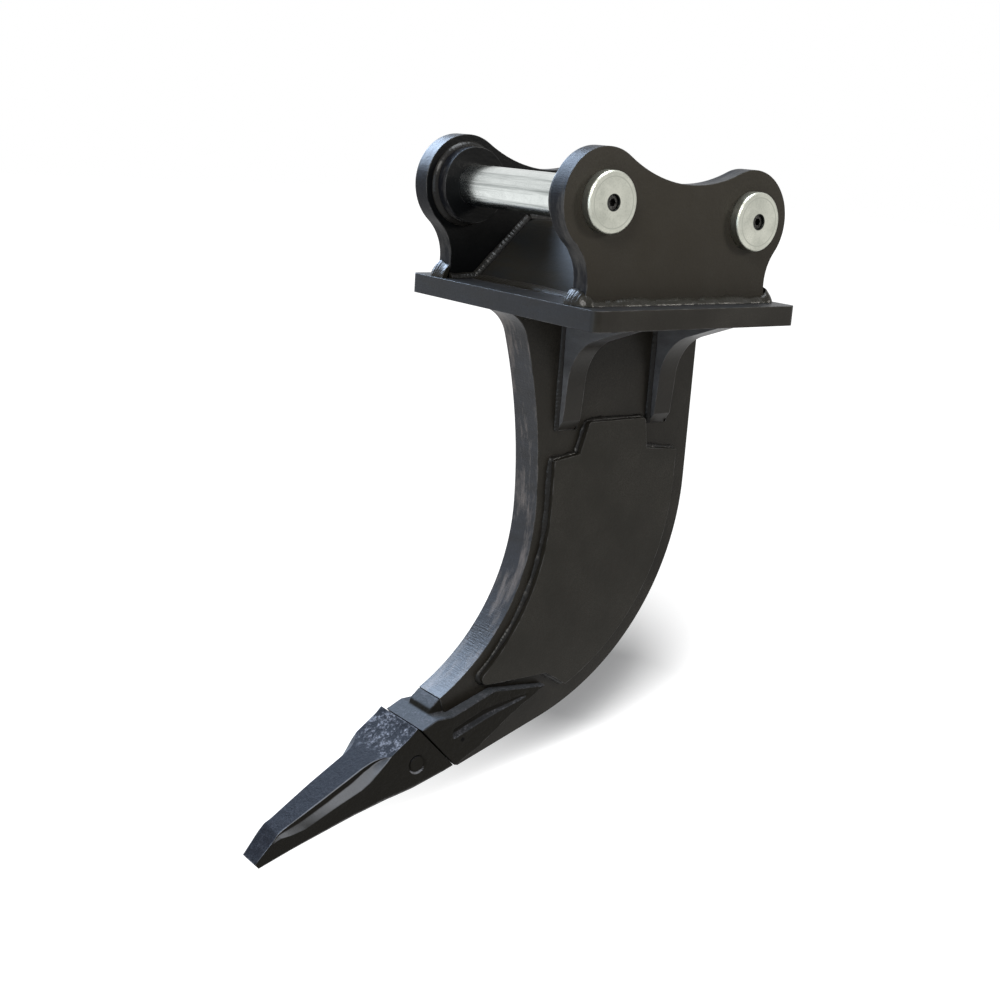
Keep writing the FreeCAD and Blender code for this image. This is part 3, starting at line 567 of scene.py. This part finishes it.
# Gussets: 28 mm knees between the blade's sides and the base plate, each welded along both faces to
# the blade and to the plate.
# The gussets' faces not turned to a side are painted pale and bluish: their cut streaks, and a painted
# highlight of the sky and front light.
gusset_paint = paint("black_paint_gussets", dark=(0.0105, 0.0095, 0.0080, 1), rough=0.34, peel=0.08,
                     streaks=0.5, edge=(0.054, 0.055, 0.058, 1))
GUSSET_BEAD = 0.0048
PLATE_BEAD = GUSSET_BEAD * 0.8
BEAD_STOP = 0.001
for end in ENDS:
    for side, sign in SIDES:
        name = end + "_gusset_" + side
        wear([name], gusset_paint)
        low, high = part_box(name)
        x = SHANK_HALF * sign
        reach = max(abs(low.x), abs(high.x)) * sign
        for face, y, way in (("a", low.y, -1.0), ("b", high.y, 1.0)):
            root = (x, y, PLATE_BOTTOM)
            straight_bead("%s_bead_%s" % (name, face), root, (x, y, low.z + BEAD_STOP),
                          (0, way, 0), (sign, 0, 0), GUSSET_BEAD, y * 90)
            straight_bead("%s_plate_bead_%s" % (name, face), root, (reach, y, PLATE_BOTTOM),
                          (0, way, 0), (0, 0, -1), PLATE_BEAD, y * 50)

# Adapter: a rough steel casting that straddles the blade's end and carries the tooth on its nose. Cast
# skin shows through the coat, and every corner is softened by a small radius.
CAST_DARK = (0.0075, 0.0070, 0.0058, 1)
CAST_SKY_LIT_TOP = (0.0080, 0.0090, 0.0120, 1)
CAST_PALE = (0.060, 0.062, 0.070, 1)
CAST_GLOSS = 0.03
LUMPS_PER_M = 95
GRAIN_PER_M = 330
WORN_PER_M = 90
WORN_REACH = 0.003
HOLE_SHADE = (0.0006, 0.0006, 0.0006, 1)
HOLE_SHADE_RIM = (0.0034, 0.0024)
ADAPTER_CUBE = 0.0013


def cast(name, top=CAST_SKY_LIT_TOP, pale=CAST_PALE, pits=0.5, patch_from=-10.0, ledge=CAST_SKY_LIT_TOP, shaded_hole=None):
    """Painted cast skin: sand-mould grain and shallow dimples.

    The sides are dark and even. Faces that look up are the colour top, a painted light from above, rubbed to
    pale on the high spots, and behind the place patch_from along the part they are rubbed much more. Faces
    that look up and a little sideways are the colour ledge, a painted highlight. A small near-black spot of
    painted shade, as in a small hole, lies at the given place on both sides.
    """
    made, tree, surface, place = new_finish(name)
    lumps = noise(tree, place, LUMPS_PER_M, 4.0, 0.6)
    grain = noise(tree, place, GRAIN_PER_M, 4.0, 0.7)
    normal = add(tree, "NewGeometry").outputs["Normal"]
    upward = remap(tree, part_of(tree, normal, "Z"), 0.25, 0.55)
    ledge_highlight_share = remap(tree, maths(tree, "ABSOLUTE", part_of(tree, normal, "X")), 0.12, 0.30)
    behind = remap(tree, part_of(tree, place, "Y"), patch_from - 0.012, patch_from + 0.004, 0.08, 1.0)
    high = maths(tree, "MULTIPLY", remap(tree, lumps, 0.46, 0.60), remap(tree, grain, 0.44, 0.60))
    touched = remap(tree, noise(tree, place, WORN_PER_M, 4.0), 0.42, 0.60)
    worn = maths(tree, "MULTIPLY", corner_share(tree, WORN_REACH), touched)
    share = maths(tree, "MAXIMUM", maths(tree, "MULTIPLY", high, behind), maths(tree, "MULTIPLY", worn, 0.8))
    # Painted light: faces looking up take the lighter, bluer top colour, and those also turned a little
    # sideways the ledge highlight.
    colour = blend_colour(tree, upward, CAST_DARK, blend_colour(tree, ledge_highlight_share, top, ledge))
    colour = blend_colour(tree, maths(tree, "MULTIPLY", share, upward), colour, pale)
    # Painted shade: a small near-black spot, the shade in a small hole, on both sides.
    if shaded_hole:
        flat = stretched(tree, place, (0, 1, 1))
        away = add(tree, "VectorMath", {0: flat, 1: shaded_hole}, operation="DISTANCE").outputs["Value"]
        colour = blend_colour(tree, remap(tree, away, *HOLE_SHADE_RIM), colour, HOLE_SHADE)
    tree.links.new(colour, surface.inputs["Base Color"])
    tree.links.new(remap(tree, lumps, 0.3, 0.7, 0.38, 0.56), surface.inputs["Roughness"])
    surface.inputs["Specular IOR Level"].default_value = CAST_GLOSS
    dents = bump(tree, lumps, 0.45, 0.004)
    tree.links.new(bump(tree, grain, pits, 0.0014, dents), surface.inputs["Normal"])
    return made


def softened(name, grain, finish):
    """A copy of a CAD node rebuilt on a fine grid of cubes and smoothed, which rounds its edges."""
    copy = bpy.data.meshes.new(name + "_cast")
    shape = bmesh.new()
    shape.from_mesh(node[name].data)
    bmesh.ops.remove_doubles(shape, verts=shape.verts, dist=2e-6)
    shape.to_mesh(copy)
    shape.free()
    copy.materials.clear()
    copy.materials.append(finish)
    piece = bpy.data.objects.new(name + "_cast", copy)
    bpy.context.scene.collection.objects.link(piece)
    cubes = piece.modifiers.new("cubes", "REMESH")
    cubes.mode = "VOXEL"
    cubes.voxel_size = grain
    cubes.use_smooth_shade = True
    smooth = piece.modifiers.new("smooth", "SMOOTH")
    smooth.factor = 0.5
    smooth.iterations = 5
    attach(piece, "root")
    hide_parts(name)
    return piece


# The adapter's top faces are painted lighter, as lit from above, its ledges take a painted highlight, and a
# small spot on each side is painted near-black as the shade of a small hole.
adapter_finish = cast("cast_adapter", top=(0.033, 0.036, 0.040, 1), pits=0.35, ledge=(0.016, 0.017, 0.019, 1),
                      shaded_hole=(0, -0.071, -0.666))
softened("adapter", ADAPTER_CUBE, adapter_finish)

# Tooth point: a hard steel casting that slides on the adapter's nose and is held by its cross pin,
# which ends in a shallow pocket. Its band stands proud, and its top has a rib with a ledge on each
# side. It is a skin over sections square to its top line, from the chisel tip into the socket.
TOOTH_TOP = ((-140.5, -637.7), (-148, -645.6), (-178, -667.2), (-205, -682.2), (-250, -707.2),
             (-314, -744.2), (-342, -777.2))
TOOTH_BOTTOM = ((-80.9, -700.1), (-94, -705), (-128, -716.7), (-160, -727.2), (-212, -742.2),
                (-296, -770), (-336, -784.2))
TOOTH_ROWS = 150
ROW_CROWDING = 0.9
HALF_WIDTH = 41.0
TAPER_START = -186.0
TAPER = 26.0 / 156.0
RIB_HALF = ((-140, 41), (-177, 41), (-184, 31), (-193, 25.5), (-205, 23), (-226, 22.3), (-255, 21),
            (-285, 18.5), (-306, 16.5), (-322, 17.5), (-342, 15))
WALL_DROP = ((-140, 0), (-178, 0.2), (-187, 2.2), (-200, 5.5), (-226, 8), (-255, 7.5), (-285, 6),
             (-306, 3.5), (-319, 0.6), (-342, 0.2))
LEDGE_DROP = ((-140, 0.6), (-178, 0.8), (-187, 4.5), (-210, 14.2), (-222, 17), (-239, 17), (-270, 16.7),
              (-290, 17), (-306, 11), (-319, 3.0), (-342, 0.6))
KEEL = ((-140, 5), (-178, 9), (-212, 12), (-260, 9), (-300, 6), (-342, 2))
SIDE_POINTS = (22, 8, 16, 40, 8, 26)
PIN_PLACE = (-138.0, -684.2)
PIN_POCKET = 12.3
POCKET_SLOPE = 1.2
POCKET_DEPTH = 2.4
SOCKET_CENTRE = (-106.5, -670.7)
SOCKET_ANGLE = 24.3
SOCKET_LENGTH = 96.5
SOCKET_HALVES = ((26.5, 23.5), (17.5, 10.5))
SOCKET_ROWS = (0.0, 0.02, 0.5, 0.98, 1.0)


def lookup(table, where):
    """A value read off a table of (place, value) pairs, by straight lines between them."""
    keys = np.array(table)[::-1]
    return np.interp(where, keys[:, 0], keys[:, 1])


def half_width(where):
    """Half the tooth's width: full in its band, and narrowing evenly ahead of TAPER_START."""
    return HALF_WIDTH - TAPER * np.clip(TAPER_START - where, 0, None)


def spread(corners, counts):
    """Points along a half section: counts of them on each straight run between corners."""
    runs = [
        first + (second - first) * np.linspace(0, 1, count, endpoint=False)[:, None, None]
        for first, second, count in zip(corners, corners[1:], counts)
    ]
    return np.concatenate(runs + [corners[-1][None]])


def tooth_outside():
    """Rows of section points (X, Y, Z) in millimetres, from the tip to the mouth.

    A row starts at a point of the top line, found by its share of the line's length, and hangs square
    to the way across towards the bottom line: half its width is rib, wall, ledge, side and keel, and
    the other half mirrors it. Rows and their points are then smoothed with their neighbours.
    """
    share = np.linspace(1, 0, TOOTH_ROWS) ** ROW_CROWDING
    lines = np.array(TOOTH_TOP, float), np.array(TOOTH_BOTTOM, float)
    steps = np.linalg.norm(np.diff(lines[0], axis=0), axis=1)
    knots = np.concatenate([[0], np.cumsum(steps)]) / steps.sum()
    top, bottom = (np.stack([np.interp(share, knots, line[:, k]) for k in (0, 1)], 1) for line in lines)
    depth = np.linalg.norm(bottom - top, axis=1)
    where = top[:, 0]
    full = half_width(where)
    rib = np.minimum(lookup(RIB_HALF, where), full)
    wall, ledge, keel = (lookup(table, where) for table in (WALL_DROP, LEDGE_DROP, KEEL))
    zero = 0 * where
    corners = [np.stack(pair, 1) for pair in (
        (zero, zero),
        (rib, zero),
        (rib + 0.02 * (full - rib), wall),
        (full, ledge),
        (full, depth - keel),
        (full - 0.9 * keel, depth),
        (zero, depth),
    )]
    half = spread(corners, SIDE_POINTS)
    ring = np.concatenate([half, half[-2:0:-1] * (-1, 1)]).transpose(1, 0, 2)
    for _ in range(3):
        ring = 0.5 * ring + 0.25 * (np.roll(ring, 1, axis=1) + np.roll(ring, -1, axis=1))
    for _ in range(2):
        ring[1:-1] = 0.5 * ring[1:-1] + 0.25 * (ring[:-2] + ring[2:])
    down = (bottom - top) / depth[:, None]
    flat = top[:, None] + down[:, None] * ring[..., 1:]
    limit = half_width(flat[..., 0])
    x = np.sign(ring[..., 0]) * np.minimum(np.abs(ring[..., 0]), limit)
    from_pin = np.hypot(flat[..., 0] - PIN_PLACE[0], flat[..., 1] - PIN_PLACE[1])
    sunk = np.clip((PIN_POCKET - from_pin) / POCKET_SLOPE, 0, 1) * POCKET_DEPTH
    x = np.where(np.abs(x) > 0.8 * limit, x - np.sign(x) * sunk, x)
    return np.concatenate([x[..., None], flat], -1)


def tooth_inside():
    """Rows of the socket's rectangle, which shrinks evenly from the mouth plane to its end."""
    angle = math.radians(SOCKET_ANGLE)
    forward = np.array([-math.cos(angle), -math.sin(angle)])
    up = np.array([forward[1], -forward[0]])
    mouth = np.array(TOOTH_TOP[0]), np.array(TOOTH_BOTTOM[0])
    normal = np.array([mouth[1][1] - mouth[0][1], mouth[0][0] - mouth[1][0]])
    count = np.array(SIDE_POINTS)
    counts = (count[0], count[1:4].sum(), count[4:].sum())
    rows = []
    for share in SOCKET_ROWS:
        wide, high = (a + (b - a) * share for a, b in zip(*SOCKET_HALVES))
        corners = [np.array([pair], float) for pair in ((0, high), (wide, high), (wide, -high), (0, -high))]
        half = spread(corners, counts)[:, 0]
        ring = np.concatenate([half, half[-2:0:-1] * (-1, 1)])
        middle = np.array(SOCKET_CENTRE) + ring[:, 1:] * up
        start = ((mouth[0] - middle) @ normal) / (forward @ normal)
        along = start + (SOCKET_LENGTH - start) * share
        rows.append(np.concatenate([ring[:, :1], middle + along[:, None] * forward], 1))
    return np.array(rows)


# The tooth's ledges take a pale painted highlight, and its tops a slight painted sky tint.
tooth_finish = cast("cast_tooth", pale=(0.13, 0.135, 0.155, 1), pits=0.6, patch_from=-0.178,
                    ledge=(0.085, 0.087, 0.092, 1))
tooth_skin = np.concatenate([tooth_outside(), tooth_inside()]) / 1000
tooth = surface_mesh("tooth_point_cast", tooth_skin, False, tooth_finish)
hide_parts("tooth_point")

# Cross pin: a plain steel pin, driven through the tooth and the adapter's nose and kept there by a
# spring ring. Its ends are painted over with the tooth.
wear(["tooth_pin", "tooth_pin_retainer"], cast("pin_steel", pits=0.15))

# Studio: a white sweep under and behind the ripper, and six soft boxes. Five of them light only the
# ripper: a wide cool one above the far side, and weaker ones ahead, above, behind and beside the
# camera. The sixth lights only the sweep, and throws the ripper's soft shadow on it.
FLOOR_GAP = 0.0005
FLOOR_HALF = 14.0
WORLD_FILL = 0.08
WORLD_BLUE = (0.93, 0.96, 1.0, 1)
WHITE = (1, 1, 1, 1)
CHALK = (0.86, 0.86, 0.86, 1)
SWEEP_GLOW = (2.0, 1.15)
SWEEP_SHARE = 0.12
SWEEP_REACH = (0.15, 0.85)
SWEEP_CENTRE = (-0.25, 0.42, cad_box[0][2])
TARGET = Vector((0.0, 0.02, -0.35))


def looking_rays(tree):
    """1 for rays that only look: from the camera, through glass or off a glossy face. Else 0."""
    rays = add(tree, "LightPath")
    seen = maths(tree, "MAXIMUM", rays.outputs["Is Camera Ray"], rays.outputs["Is Transmission Ray"])
    return maths(tree, "MAXIMUM", seen, rays.outputs["Is Glossy Ray"])


world = bpy.data.worlds.new("studio")
world.use_nodes = True
bpy.context.scene.world = world
tree = world.node_tree
fill = add(tree, "Background", {"Color": WORLD_BLUE, "Strength": WORLD_FILL})
white = add(tree, "Background", {"Color": WHITE, "Strength": 1.0})
joined = add(tree, "MixShader", {0: looking_rays(tree), 1: fill.outputs[0], 2: white.outputs[0]})
tree.links.new(joined.outputs[0], tree.nodes["World Output"].inputs["Surface"])

floor_z = cad_box[0][2] - FLOOR_GAP
grid = np.linspace(-FLOOR_HALF, FLOOR_HALF, 3)
spots = [(x, y, floor_z) for x in grid for y in grid]
tiles = [(i * 3 + j, i * 3 + 3 + j, i * 3 + 4 + j, i * 3 + 1 + j) for i in range(2) for j in range(2)]
mesh = bpy.data.meshes.new("floor")
mesh.from_pydata(spots, [], tiles)
floor = bpy.data.objects.new("floor", mesh)
bpy.context.scene.collection.objects.link(floor)
sweep, tree, surface, place = new_finish("white_sweep")
away = add(tree, "VectorMath", {0: place, 1: SWEEP_CENTRE}, operation="DISTANCE").outputs["Value"]
strength = remap(tree, away, *SWEEP_REACH, *SWEEP_GLOW)
glow = add(tree, "Emission", {"Color": WHITE, "Strength": strength})
chalk = add(tree, "BsdfDiffuse", {"Color": CHALK})
share = maths(tree, "MULTIPLY", looking_rays(tree), remap(tree, away, *SWEEP_REACH, SWEEP_SHARE, 1.0))
joined = add(tree, "MixShader", {0: share, 1: chalk.outputs[0], 2: glow.outputs[0]})
tree.links.new(joined.outputs[0], tree.nodes["Material Output"].inputs["Surface"])
mesh.materials.append(sweep)


def lit(name, objects, state):
    """A list of objects that a light spares (EXCLUDE) or lights alone (INCLUDE)."""
    made = bpy.data.collections.new(name)
    for thing in objects:
        made.objects.link(thing)
    for entry in made.collection_objects:
        entry.light_linking.link_state = state
    return made


OFF_SWEEP = lit("off_sweep", [floor], "EXCLUDE")
OFF_CAPS = lit("off_sweep_and_caps", [floor] + [node[end + "_cap_left"] for end in ENDS], "EXCLUDE")
OFF_PINS = lit("off_sweep_and_pins", [floor] + [node[end + "_pin"] for end in ENDS], "EXCLUDE")
ON_SWEEP = lit("on_sweep", [floor], "INCLUDE")


def soft_box(name, direction, distance, size, watts, colour, lights):
    """A square area light at a distance from the ripper's middle, turned to face it."""
    lamp = bpy.data.lights.new(name, "AREA")
    lamp.shape = "SQUARE"
    lamp.size = size
    lamp.energy = watts
    lamp.color = colour
    made = bpy.data.objects.new(name, lamp)
    made.location = TARGET + Vector(direction).normalized() * distance
    made.rotation_euler = (TARGET - made.location).to_track_quat("-Z", "Y").to_euler()
    made.visible_camera = False
    bpy.context.scene.collection.objects.link(made)
    made.light_linking.receiver_collection = lights


soft_box("sky_box", (-0.77, -0.10, 0.63), 2.4, 1.5, 190, (0.60, 0.76, 1.0), OFF_PINS)
soft_box("front_box", (0.20, -0.95, 0.12), 2.4, 1.2, 17, (0.70, 0.85, 1.0), OFF_SWEEP)
soft_box("top_box", (0.05, 0.10, 1.0), 2.2, 1.0, 60, (0.90, 0.95, 1.0), OFF_PINS)
soft_box("rear_box", (0.72, 0.60, 0.46), 2.6, 0.5, 38, (1.0, 0.95, 0.88), OFF_CAPS)
soft_box("camera_box", (0.42, -0.62, 0.66), 2.6, 0.9, 62, (1.0, 0.98, 0.95), OFF_SWEEP)
soft_box("shadow_box", (0.62, -0.65, 0.52), 4.5, 1.3, 660, (1.0, 1.0, 1.0), ON_SWEEP)

# Camera: fitted to the photograph. It looks down on the near side from ahead of the tooth, turned
# about the upright axis by its yaw, tipped by its pitch and rolled a little.
CAMERA_PLACE = (1.411527, -1.106453, 0.078400)
CAMERA_YAW = math.radians(52.08187)
CAMERA_PITCH = math.radians(-14.22775)
CAMERA_ROLL = math.radians(3.91975)
CAMERA_LENS = 53.70
SENSOR_WIDTH = 36.0
FARTHEST = 60.0
forward = Vector((
    -math.sin(CAMERA_YAW) * math.cos(CAMERA_PITCH),
    math.cos(CAMERA_YAW) * math.cos(CAMERA_PITCH),
    math.sin(CAMERA_PITCH),
))
level = Vector((math.cos(CAMERA_YAW), math.sin(CAMERA_YAW), 0))
above = level.cross(forward)
right = level * math.cos(CAMERA_ROLL) + above * math.sin(CAMERA_ROLL)
upward = above * math.cos(CAMERA_ROLL) - level * math.sin(CAMERA_ROLL)
lens = bpy.data.cameras.new("camera")
lens.sensor_width = SENSOR_WIDTH
lens.lens = CAMERA_LENS
lens.clip_end = FARTHEST
camera = bpy.data.objects.new("camera", lens)
turned = Matrix((right, upward, -forward)).transposed().to_4x4()
camera.matrix_world = Matrix.Translation(CAMERA_PLACE) @ turned
bpy.context.scene.collection.objects.link(camera)
bpy.context.scene.camera = camera
bpy.context.scene.view_settings.view_transform = "Standard"
